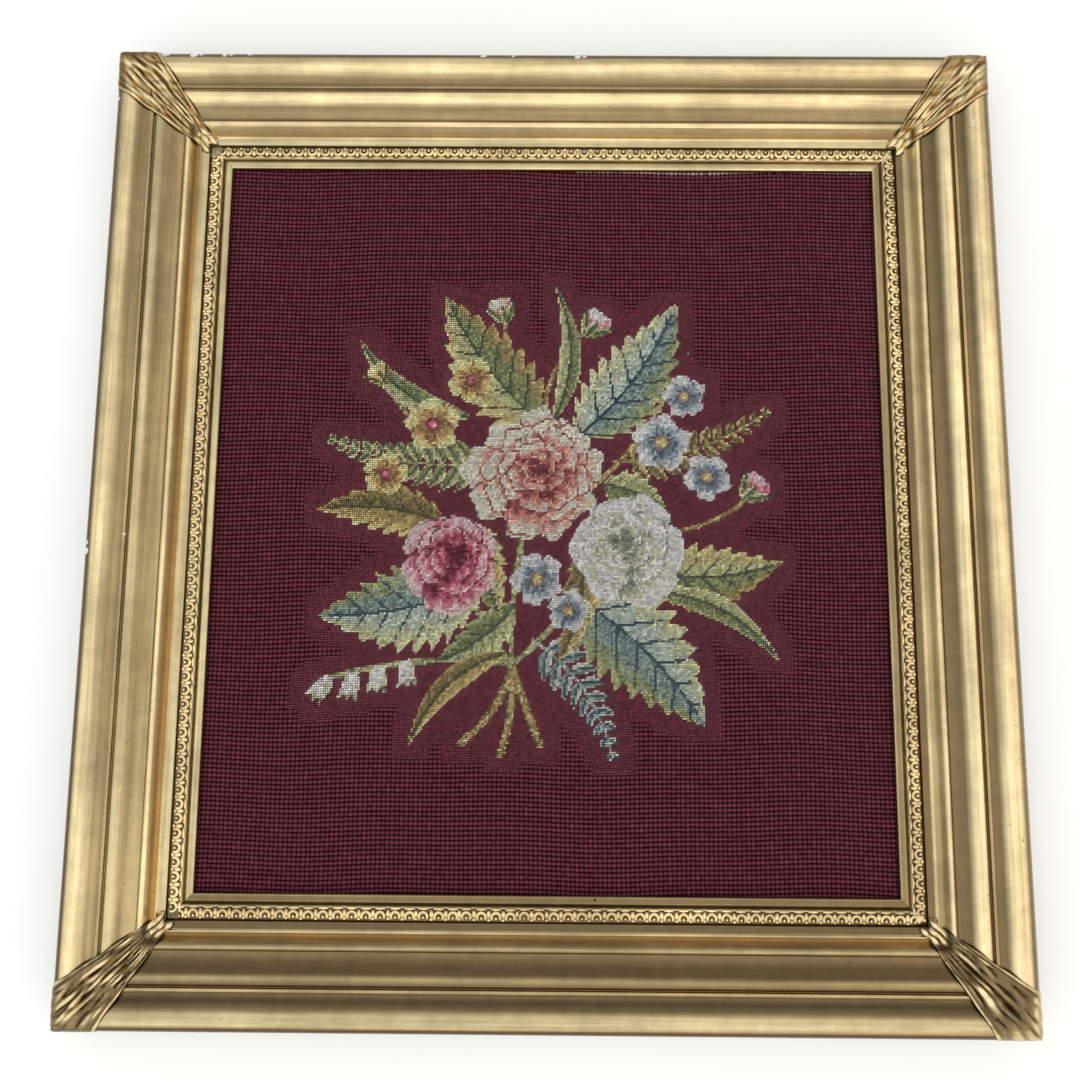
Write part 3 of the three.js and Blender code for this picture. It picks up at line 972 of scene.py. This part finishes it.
class Chart:
    """The worked design: the colour of every stitch, and which cells are worked fine."""

    margin = 2

    def __init__(self, settings):
        self.pitch_x = 2 * SIGHT_X / settings.stitches_across
        self.pitch_y = 2 * SIGHT_Y / settings.stitches_up
        self.columns = settings.stitches_across + 2 * self.margin
        self.rows = settings.stitches_up + 2 * self.margin
        fine = []
        sides = ((self.columns, self.pitch_x, SIGHT_X), (self.rows, self.pitch_y, SIGHT_Y))
        for cells, pitch, half in sides:
            fine.append((np.arange(2 * cells) + 0.5) * pitch / 2 - half - self.margin * pitch)
        self.x, self.y = np.meshgrid(*fine)
        self.east, self.north = (self.x / MM).astype("f4"), (self.y / MM).astype("f4")
        self.colour = np.tile(np.array(settings.fine_wool), (*self.x.shape, 1))
        self.worked = np.zeros(self.x.shape, bool)
        self.grain = np.random.default_rng(SEED).uniform(-1, 1, self.x.shape)
        self.yarns = {}
        for name, shades in YARNS.items():
            bright = np.array([srgb(*shade) for shade in shades])
            gain = 1.6 if name in ("sage", "olive", "teal", "yellow") else 1.32
            soft = gain * (0.82 * bright + 0.18 * bright.mean(1, keepdims=True))
            self.yarns[name] = np.minimum(soft, 0.9)

    def fine_field(self, border=3):
        """Large cells worked in small stitches: the flowers and a stepped border round them."""
        blocks = self.worked.reshape(self.rows, 2, self.columns, 2).any((1, 3))
        field = blocks.copy()
        for down in range(-border, border + 1):
            for right in range(-border, border + 1):
                field |= np.roll(blocks, (down, right), (0, 1))
        return field

    def coarse_colour(self):
        """The colour of each large cell, the mean of its four small ones."""
        blocks = self.colour.reshape(self.rows, 2, self.columns, 2, 3)
        return blocks.mean((1, 3))

    def local(self, place, turn):
        """Millimetres along and across a motif that starts at a place and points that way."""
        east, north = self.east - place[0], self.north - place[1]
        cos, sin = math.cos(turn), math.sin(turn)
        return east * cos + north * sin, north * cos - east * sin

    def work(self, inside, tone, yarns, loose=0.13):
        """Works the stitches in a shape, in lighter to darker yarns as the tone goes from 0 to 1."""
        shades = self.yarns[yarns]
        step = np.clip((tone + loose * self.grain) * len(shades), 0, len(shades) - 1).astype(int)
        self.colour[inside] = shades[step[inside]]
        self.worked |= inside
        return inside

    def petal(self, place, turn, length, width, yarns, light, dark, frill=0.05, behind=None):
        """A rounded petal, pale at its rim, with a dark line where it lies over the petals behind it."""
        along, across = self.local(place, turn)
        angle = np.arctan2(across / width, along / length - 0.5)
        edge = np.hypot(2 * along / length - 1, 2 * across / width)
        edge = edge * (1 + frill * np.cos(5 * angle + 7 * turn))
        if behind is not None:
            self.work(behind & (edge < 1 + 2.2 / width), np.full(edge.shape, 0.64), yarns, 0.25)
        share = np.clip(along / length, 0, 1)
        streaks = 0.1 * np.cos(24 * across / width * (1.2 - 0.5 * share))
        tone = dark + (light - dark) * smoothstep(0.2, 0.95, share) + streaks
        tone -= 0.12 * math.cos(turn - 2.2) + 0.14 * smoothstep(0.8, 0.95, edge) * share
        return self.work(edge < 1, tone, yarns)

    def rose(self, place, radius, yarns, rings, turn=0.3, lean=(0, 0), frill=0.05):
        """A full flower, ring on ring of petals with a dark heart."""
        body = np.zeros(self.x.shape, bool)
        for number, (count, start, length, width, light, dark) in enumerate(rings):
            middle = (place[0] + lean[0] * number, place[1] + lean[1] * number)
            for k in range(count):
                step = k + 0.5 * (number % 2) + 0.1 * math.sin(2.3 * k + number)
                angle = turn + step * 2 * math.pi / count
                base = polar(middle, angle, radius * (start + 0.05 * math.sin(3.7 * k + 2 * number)))
                size = radius * (1 + 0.1 * math.sin(5.1 * k + number))
                shape = (length * size, width * size, yarns, light, dark, frill, body)
                body |= self.petal(base, angle, *shape)

    def blossom(self, place, radius, yarns, turn, eye="yellow"):
        """An open flower of five petals."""
        body = np.zeros(self.x.shape, bool)
        for k in range(5):
            angle = turn + k * 2 * math.pi / 5
            body |= self.petal(place, angle, radius, 0.92 * radius, yarns, 0.0, 0.75, 0.09, body)
        along, across = self.local(place, turn)
        middle = np.hypot(along, across) / radius
        rays = np.cos(10 * np.arctan2(across, along)) > 0.2
        self.work((middle < 0.42) & rays, 0.9 - 0.4 * middle, yarns)
        self.work(middle < 0.24, middle * 3.2, eye)

    def leaf(self, base, tip, width, yarns, bend=0.0, teeth=0, heart=None):
        """A pointed leaf with a midrib and side veins, lighter on one half and along its edge."""
        run = np.subtract(tip, base)
        length = float(np.hypot(*run))
        along, across = self.local(base, math.atan2(run[1], run[0]))
        share = np.clip(along / length, 0, 1)
        side = across - 4 * bend * length * share * (1 - share)
        half = width / 2 * np.maximum(np.sin(math.pi * share**0.75), 0) ** 0.9
        if teeth:
            half = half * (1 + 0.34 * ((teeth * share + 0.2 * np.sign(side)) % 1 - 0.6))
        out = np.abs(side) / np.maximum(half, 0.01)
        inside = (share > 0) & (share < 1) & (out < 1)
        veins = 0.0
        if width > 18:
            slant = (7 * share - 0.42 * np.abs(side) / width * 7) % 1
            veins = 0.28 * (slant < 0.13) * (out < 0.8)
        tone = 0.36 - 0.14 * np.sign(side) + 0.22 * (1 - out) - 0.2 * smoothstep(0.72, 0.95, out) + veins
        self.work(inside, tone, yarns)
        if heart:
            ragged = 0.6 + 0.3 * self.grain
            self.work(inside & (out < ragged), tone - 0.08 + 0.36 * (veins > 0), heart)
        rib = np.abs(side) < 0.75 if width > 9 else np.abs(side) < 0.5
        self.work(inside & rib & (share < 0.93), np.full(share.shape, 0.95), heart or yarns)

    def stem(self, points, width, yarns):
        """A curved stem from the first point towards the second to the third."""
        start, bend, end = (np.array(point, float) for point in points)
        share = np.linspace(0, 1, 90)[:, None]
        curve = (1 - share) ** 2 * start + 2 * share * (1 - share) * bend + share**2 * end
        near = np.full(self.x.shape, np.inf)
        for point in curve:
            near = np.minimum(near, np.hypot(self.east - point[0], self.north - point[1]))
        self.work(near < width / 2, 0.3 + 0.5 * near / width, yarns, 0.3)

    def fern(self, base, tip, yarns, bend, pairs, size):
        """A frond of small leaves in pairs along a curved rib."""
        run = np.subtract(tip, base)
        turn = math.atan2(run[1], run[0])
        over = np.array([-run[1], run[0]])
        for share in np.linspace(0.12, 0.98, pairs):
            point = base + run * share + over * 4 * bend * share * (1 - share)
            turned = turn + math.atan(4 * bend * (1 - 2 * share))
            reach = size * (1 - 0.8 * share**1.5) * (0.75 + 0.5 * min(share * 3, 0.5))
            for sign in (-1, 1):
                way = turned + sign * (1.05 - 0.35 * share)
                end = polar(point, way, reach)
                self.leaf(point, end, 0.42 * size * (1 - 0.5 * share), yarns, 0.06 * sign)
        self.stem((base, base + run / 2 + over * 2 * bend, tip), 1.9, yarns)

    def bud(self, place, turn, length, yarns, green="sage"):
        """A closed bud in its sepals."""
        start = polar(place, turn, -0.1 * length)
        for lean, light, dark in ((0.3, 0.15, 0.8), (-0.3, 0.35, 0.95), (0.04, 0.0, 0.7)):
            self.petal(start, turn + lean, length, 0.6 * length, yarns, light, dark, 0.03)
        for lean, reach in ((-0.75, 0.95), (0.7, 0.95), (-0.1, 0.55)):
            end = polar(place, turn + lean, length * reach)
            self.leaf(polar(place, turn, -0.2 * length), end, 0.3 * length, green)

    def bell(self, place, turn, length, yarns):
        """A small hanging bell with a flared rim."""
        along, across = self.local(place, turn)
        share = np.clip(along / length, 0, 1)
        half = length * (0.2 + 0.14 * np.sin(math.pi * share) + 0.2 * share**4)
        rim = length * (1 + 0.09 * np.cos(9 * across / length * 2))
        tone = 0.3 + 0.45 * across / (2 * half) + 0.3 * (share > 0.8)
        self.work((along > 0) & (along < rim) & (np.abs(across) < half), tone, yarns)


def work_spray(chart):
    """A loose spray of garden flowers, gathered low and a little to the left."""
    tie = (-20, -84)
    for bend, end in (
        ((-24, -108), (-48, -128)),
        ((-18, -108), (-26, -134)),
        ((-14, -104), (-4, -128)),
    ):
        chart.stem((tie, bend, end), 4.4, "olive")
    for bend, end in (
        ((-40, -62), (-52, -22)),
        ((4, -64), (42, -20)),
        ((-22, -40), (-8, 20)),
        ((-70, -78), (-122, -92)),
    ):
        chart.stem((tie, bend, end), 3.4, "sage")
    for start, bend, end in (
        ((-10, 30), (-4, 86), (20, 108)),
        ((-14, 30), (-30, 80), (-26, 114)),
        ((30, -10), (84, -18), (112, 10)),
        ((20, 10), (44, 30), (70, 74)),
        ((-30, 20), (-70, 36), (-96, 76)),
    ):
        chart.stem((start, bend, end), 2.6, "olive")
    chart.fern((-34, 30), (-126, 44), "sage", 0.07, 12, 20)
    chart.fern((36, 30), (126, 62), "olive", -0.08, 11, 19)
    chart.fern((-8, -70), (36, -134), "teal", 0.1, 9, 19)
    chart.leaf((-4, 50), (-62, 128), 42, "olive", 0.05, 9, "sage")
    chart.leaf((16, 44), (74, 126), 44, "sage", -0.06, 10, "teal")
    chart.leaf((-36, -40), (-130, -58), 48, "sage", 0.05, 10, "teal")
    chart.leaf((14, -46), (88, -118), 52, "sage", 0.06, 10, "teal")
    chart.leaf((50, -30), (132, -26), 36, "olive", -0.1, 9, "sage")
    chart.leaf((-58, -6), (-132, 2), 28, "olive", -0.08, 8)
    chart.leaf((-18, -50), (-64, -84), 22, "sage", 0.08, 6)
    chart.leaf((18, -22), (6, -82), 20, "olive", 0.1, 6)
    chart.leaf((-38, -6), (-26, -58), 24, "olive", -0.06, 6, "sage")
    chart.leaf((30, 16), (66, 4), 22, "sage", 0.06, 6)
    chart.leaf((2, 54), (2, 136), 13, "sage", -0.12)
    chart.leaf((-24, -78), (-78, -130), 14, "olive", -0.12)
    chart.leaf((-46, 56), (-112, 104), 14, "sage", 0.13)
    chart.leaf((58, -44), (130, -84), 14, "sage", 0.12)
    for place, turn in (((-80, -82), -1.5), ((-95, -85), -1.65), ((-109, -89), -1.8), ((-122, -92), -2.3)):
        chart.bell(place, turn, 14, "cream")
    chart.bud((22, 108), 0.9, 17, "pink")
    chart.bud((-27, 114), 1.9, 15, "coral")
    chart.bud((112, 12), 0.8, 17, "rose")
    chart.bud((-97, 78), 2.2, 13, "yellow", "olive")
    for place, radius, turn in (((-68, 52), 16, 0.4), ((-46, 78), 14, 1.0), ((-94, 24), 13, 0.1)):
        chart.blossom(place, radius, "yellow", turn, "rose")
    for place, radius, turn in (((64, 42), 17, 0.2), ((90, 22), 14, 0.9), ((78, 70), 13, 0.5)):
        chart.blossom(place, radius, "blue", turn)
    chart.rose((-56, -26), 28, "rose", ROSE_RINGS, 0.5, (1.0, 1.2))
    chart.rose((44, -20), 32, "cream", ROSE_RINGS, 1.1, (-1.0, 1.4))
    chart.rose((-8, 22), 39, "coral", PEONY_RINGS, 0.2, (0.4, 1.2), 0.1)
    chart.blossom((-6, -36), 15, "blue", 0.7)
    chart.blossom((12, -54), 12, "blue", 0.1)


# Length, width and height of a stitch and how deep it sits, in millimetres, its slant in degrees, and the
# corners of its section
LARGE_STITCH = (2.95, 1.85, 1.75, 0.8, 12, 4)
SMALL_STITCH = (1.7, 1.12, 0.9, 0.55, 38, 3)
# Wool of the worn row at the top and of loose pale threads, and the painted shade between the stitches,
# as shares of the wool's colour
WORN_WOOL = srgb(186, 150, 150)
PALE_THREAD = srgb(206, 196, 194)
FINE_GAP_SHADE = (0.3, 0.2, 0.22)
LARGE_GAP_SHADE = (0.24, 0.05, 0.09)
# How far the canvas lies under its CAD face, its thickness, and how far stitches keep off its edge
GROUND_DEPTH = 1.15 * MM
GROUND_THICKNESS = 0.9 * MM
EDGE_MARGIN = 1.2 * MM


def paint_stitches(mesh, colours):
    attribute = mesh.attributes.new("stitch_colour", "FLOAT_COLOR", "POINT")
    attribute.data.foreach_set("color", np.column_stack([colours, np.ones(len(colours))]).ravel())


def stitch_mesh(name, centres, colours, stitch):
    """One mesh of many stitches: each is a plump slanted bead of yarn with a pointed end in a hole."""
    length, width, height, depth = (size * MM for size in stitch[:4])
    slant, sides = stitch[4:]
    rng = np.random.default_rng(SEED)
    count = len(centres)
    turn = math.radians(slant) + rng.normal(0, 0.12, count)
    fat = 1 + rng.normal(0, 0.1, count)
    ring = np.linspace(0, 2 * math.pi, sides, endpoint=False) + math.pi / 2
    points = [(-0.5, 0.0, -0.55)]
    for along in (-0.26, 0.26):
        points += [(along, math.cos(angle) * 0.5, math.sin(angle) * 0.5) for angle in ring]
    points.append((0.5, 0.0, -0.55))
    template = np.array(points)
    local = template[None] * np.stack([np.full(count, length), width * fat, height * fat], 1)[:, None, :]
    cos, sin = np.cos(turn)[:, None], np.sin(turn)[:, None]
    x = centres[:, 0:1] + local[..., 0] * cos - local[..., 1] * sin
    y = centres[:, 1:2] + local[..., 0] * sin + local[..., 1] * cos
    z = centres[:, 2:3] + local[..., 2] - depth
    places = np.stack([x, y, z], -1).reshape(-1, 3)
    last = 2 * sides + 1
    faces = []
    for k in range(sides):
        a, b = 1 + k, 1 + (k + 1) % sides
        faces += [(0, b, a), (a, b, b + sides), (a, b + sides, a + sides), (a + sides, b + sides, last)]
    starts = np.arange(count) * len(template)
    every = (np.array(faces)[None] + starts[:, None, None]).reshape(-1, 3)
    mesh = bpy.data.meshes.new(name)
    mesh.vertices.add(len(places))
    mesh.vertices.foreach_set("co", places.ravel())
    mesh.loops.add(every.size)
    mesh.loops.foreach_set("vertex_index", every.ravel())
    mesh.polygons.add(len(every))
    mesh.polygons.foreach_set("loop_start", np.arange(0, every.size, 3))
    mesh.polygons.foreach_set("use_smooth", np.ones(len(every), bool))
    mesh.update(calc_edges=True)
    paint_stitches(mesh, np.repeat(colours, len(template), axis=0))
    piece = bpy.data.objects.new(name, mesh)
    bpy.context.scene.collection.objects.link(piece)
    return piece


def stitch_centres(x, y, wave):
    """Where stitches lie on the stretched canvas, kept off its edges."""
    across, up = row_waves(x, y, wave)
    x, y = x + across, y + up
    edge_x, edge_y = CANVAS_HIGH.x - EDGE_MARGIN, CANVAS_HIGH.y - EDGE_MARGIN
    x, y = np.clip(x, -edge_x, edge_x), np.clip(y, -edge_y, edge_y)
    return np.column_stack([x, y, canvas_level(x, y)])


class NEEDLEPOINT_OT_canvas(bpy.types.Operator):
    """The stretched canvas and its wool stitches, large round the edge and small in the middle"""

    bl_idname = "needlepoint.canvas"
    bl_label = "Canvas"

    def execute(self, context):
        settings = context.scene.needlework
        chart = Chart(settings)
        work_spray(chart)
        field = chart.fine_field()
        wool = wool_material("wool_stitches", gleam=0.18)
        rng = np.random.default_rng(SEED + 1)
        coarse = np.where(field[..., None], chart.coarse_colour(), np.array(settings.ground_wool))
        row, column = np.nonzero(~field)
        x = (column + 0.5 - chart.columns / 2) * chart.pitch_x
        y = (row + 0.5 - chart.rows / 2) * chart.pitch_y
        shade = 1 + rng.normal(0, 0.1, len(x)) + 0.08 * np.sin(row * 1.7 + np.sin(column * 0.11))
        colours = coarse[row, column] * shade[:, None]
        worn = (row == chart.rows - chart.margin) & (x > 14 * MM)
        colours[worn] = np.array(WORN_WOOL) * rng.uniform(0.55, 1.15, (worn.sum(), 1))
        centres = stitch_centres(x, y, settings.row_wave)
        upper = row >= chart.rows // 2
        pieces = []
        for name, part in (("large_stitches_upper", upper), ("large_stitches_lower", ~upper)):
            pieces.append(stitch_mesh(name, centres[part], colours[part], LARGE_STITCH))
        fine = np.repeat(np.repeat(field, 2, 0), 2, 1)
        x, y = chart.x[fine], chart.y[fine]
        shade = 1 + rng.normal(0, 0.2, len(x))
        colours = chart.colour[fine] * shade[:, None]
        colours[rng.choice(len(x), 6)] = PALE_THREAD
        centres = stitch_centres(x, y, settings.row_wave)
        bands = np.digitize(y, (-55 * MM, 0.0, 55 * MM))
        for band, name in enumerate(("bottom", "lower", "upper", "top")):
            part = bands == band
            pieces.append(stitch_mesh(f"small_stitches_{name}", centres[part], colours[part], SMALL_STITCH))
        for piece in pieces:
            piece.data.materials.append(wool)
            place_piece(piece, piece.name, "wool_canvas")
        ground = canvas_ground(chart, coarse, field)
        ground.data.materials.append(wool_material("canvas_gaps", gleam=0.0))
        place_piece(ground, "canvas_ground", "wool_canvas", "needlepoint_canvas")
        return {"FINISHED"}


def canvas_ground(chart, coarse, field):
    """The canvas itself, whose back carries the same wool as its face, darkened as the painted shade
    between the stitches.
    """
    deselect()
    bpy.ops.mesh.primitive_grid_add(x_subdivisions=chart.columns // 2, y_subdivisions=chart.rows // 2)
    ground = bpy.context.object
    half = (CANVAS_HIGH.x, CANVAS_HIGH.y)
    places = vertex_places(ground.data) * (*half, 1)
    cells = np.array((chart.columns, chart.rows))
    column, row = np.clip(((places[:, :2] / half + 1) / 2 * cells).astype(int), 0, cells - 1).T
    places[:, 2] = canvas_level(places[:, 0], places[:, 1]) - GROUND_DEPTH
    set_vertex_places(ground.data, places)
    # The canvas shows between the stitches in their wool, darkened as painted shade
    gap_shade = np.where(field[row, column, None], FINE_GAP_SHADE, LARGE_GAP_SHADE)
    paint_stitches(ground.data, coarse[row, column] * gap_shade)
    thick = ground.modifiers.new("thickness", "SOLIDIFY")
    thick.thickness = GROUND_THICKNESS
    thick.offset = -1
    select_only(ground)
    bpy.ops.object.modifier_apply(modifier=thick.name)
    bpy.ops.object.shade_smooth_by_angle(angle=math.radians(40))
    return ground


# Stage


def floor_material(colour):
    material, tree, shader = new_material("pale_floor")
    shade = ramp(tree, noise(tree, object_place(tree), 3.0, 4.0), [(0.3, 0.97), (0.7, 1.0)])
    look = {
        "Base Color": mix_colour(tree, 1.0, colour, shade, "MULTIPLY"),
        "Roughness": 0.9,
        "Specular IOR Level": 0.1,
        "Emission Color": (1.0, 1.0, 1.0),
        "Emission Strength": 0.1,
    }
    set_inputs(tree, shader, look)
    return material


# Light by how nearly a direction faces the lamp, and its tint from left to right
LAMP_DIRECTION = (0.0, -0.42, 0.91)
LAMP_LIGHT = [
    (0.35, (0.46, 0.45, 0.43)),
    (0.62, (0.44, 0.43, 0.41)),
    (0.76, (0.8, 0.79, 0.77)),
    (0.86, (1.12, 1.11, 1.08)),
]
LAMP_TINT = [(0.28, (0.94, 1.0, 1.02)), (0.72, (1.02, 0.99, 0.96))]


def studio_world(scene):
    """One wide soft light, nearly overhead and a little to the front, in a dimmer room."""
    world = bpy.data.worlds.new("studio")
    world.use_nodes = True
    tree = world.node_tree
    direction = add_node(tree, "ShaderNodeTexCoord").outputs["Generated"]
    facing = vector_maths(tree, "DOT_PRODUCT", direction, LAMP_DIRECTION)
    light = ramp(tree, maths(tree, "MULTIPLY_ADD", facing, 0.5, 0.5), LAMP_LIGHT)
    from_right = add_node(tree, "ShaderNodeSeparateXYZ", {0: direction}).outputs["X"]
    tint = ramp(tree, maths(tree, "MULTIPLY_ADD", from_right, 0.5, 0.5), LAMP_TINT)
    light = mix_colour(tree, 1.0, light, tint, "MULTIPLY")
    set_inputs(tree, tree.nodes["Background"], {"Color": light, "Strength": 1.2})
    scene.world = world


class NEEDLEPOINT_OT_stage(bpy.types.Operator):
    """Pale floor, soft light and the camera"""

    bl_idname = "needlepoint.stage"
    bl_label = "Stage"

    def execute(self, context):
        scene = context.scene
        stage = scene.stage
        deselect()
        bpy.ops.mesh.primitive_grid_add(x_subdivisions=8, y_subdivisions=8, size=6.0)
        floor = context.object
        floor.name = "floor"
        places = vertex_places(floor.data)
        places[:, 2] -= 0.2 * MM
        set_vertex_places(floor.data, places)
        floor.data.materials.append(floor_material(stage.floor))
        studio_world(scene)
        lens = bpy.data.cameras.new("camera")
        lens.sensor_width = 36.0
        lens.lens = stage.lens
        lens.shift_x, lens.shift_y = stage.shift
        lens.clip_start, lens.clip_end = 0.01, 20.0
        camera = bpy.data.objects.new("camera", lens)
        scene.collection.objects.link(camera)
        turn = Vector(stage.camera_turn)
        camera.matrix_world = Matrix.Translation(stage.camera_place) @ Matrix.Rotation(turn.length, 4, turn)
        scene.camera = camera
        scene.view_settings.view_transform = "Standard"
        return {"FINISHED"}


class NEEDLEPOINT_PT_sidebar(bpy.types.Panel):
    """Lists the pieces of the framed panel"""

    bl_idname = "NEEDLEPOINT_PT_sidebar"
    bl_label = "Framed Needlepoint"
    bl_space_type = "VIEW_3D"
    bl_region_type = "UI"
    bl_category = "Needlepoint"

    def draw(self, context):
        for operator in PIECES:
            self.layout.operator(operator.bl_idname)
        for settings in (context.scene.needlework, context.scene.gilding, context.scene.stage):
            for name in settings.__annotations__:
                self.layout.prop(settings, name)


PIECES = (
    NEEDLEPOINT_OT_rails,
    NEEDLEPOINT_OT_slip,
    NEEDLEPOINT_OT_ornament,
    NEEDLEPOINT_OT_corner_leaves,
    NEEDLEPOINT_OT_canvas,
    NEEDLEPOINT_OT_stage,
)
SETTINGS = {"needlework": CanvasSettings, "gilding": GildingSettings, "stage": StageSettings}
CLASSES = (*SETTINGS.values(), *PIECES, NEEDLEPOINT_PT_sidebar)


def register():
    for each in CLASSES:
        bpy.utils.register_class(each)
    for name, settings in SETTINGS.items():
        setattr(bpy.types.Scene, name, PointerProperty(type=settings))


def unregister():
    for name in SETTINGS:
        delattr(bpy.types.Scene, name)
    for each in reversed(CLASSES):
        bpy.utils.unregister_class(each)


def main():
    register()
    bpy.ops.needlepoint.rails()
    bpy.ops.needlepoint.slip()
    bpy.ops.needlepoint.ornament()
    bpy.ops.needlepoint.corner_leaves()
    bpy.ops.needlepoint.canvas()
    bpy.ops.needlepoint.stage()


if __name__ == "__main__":
    main()
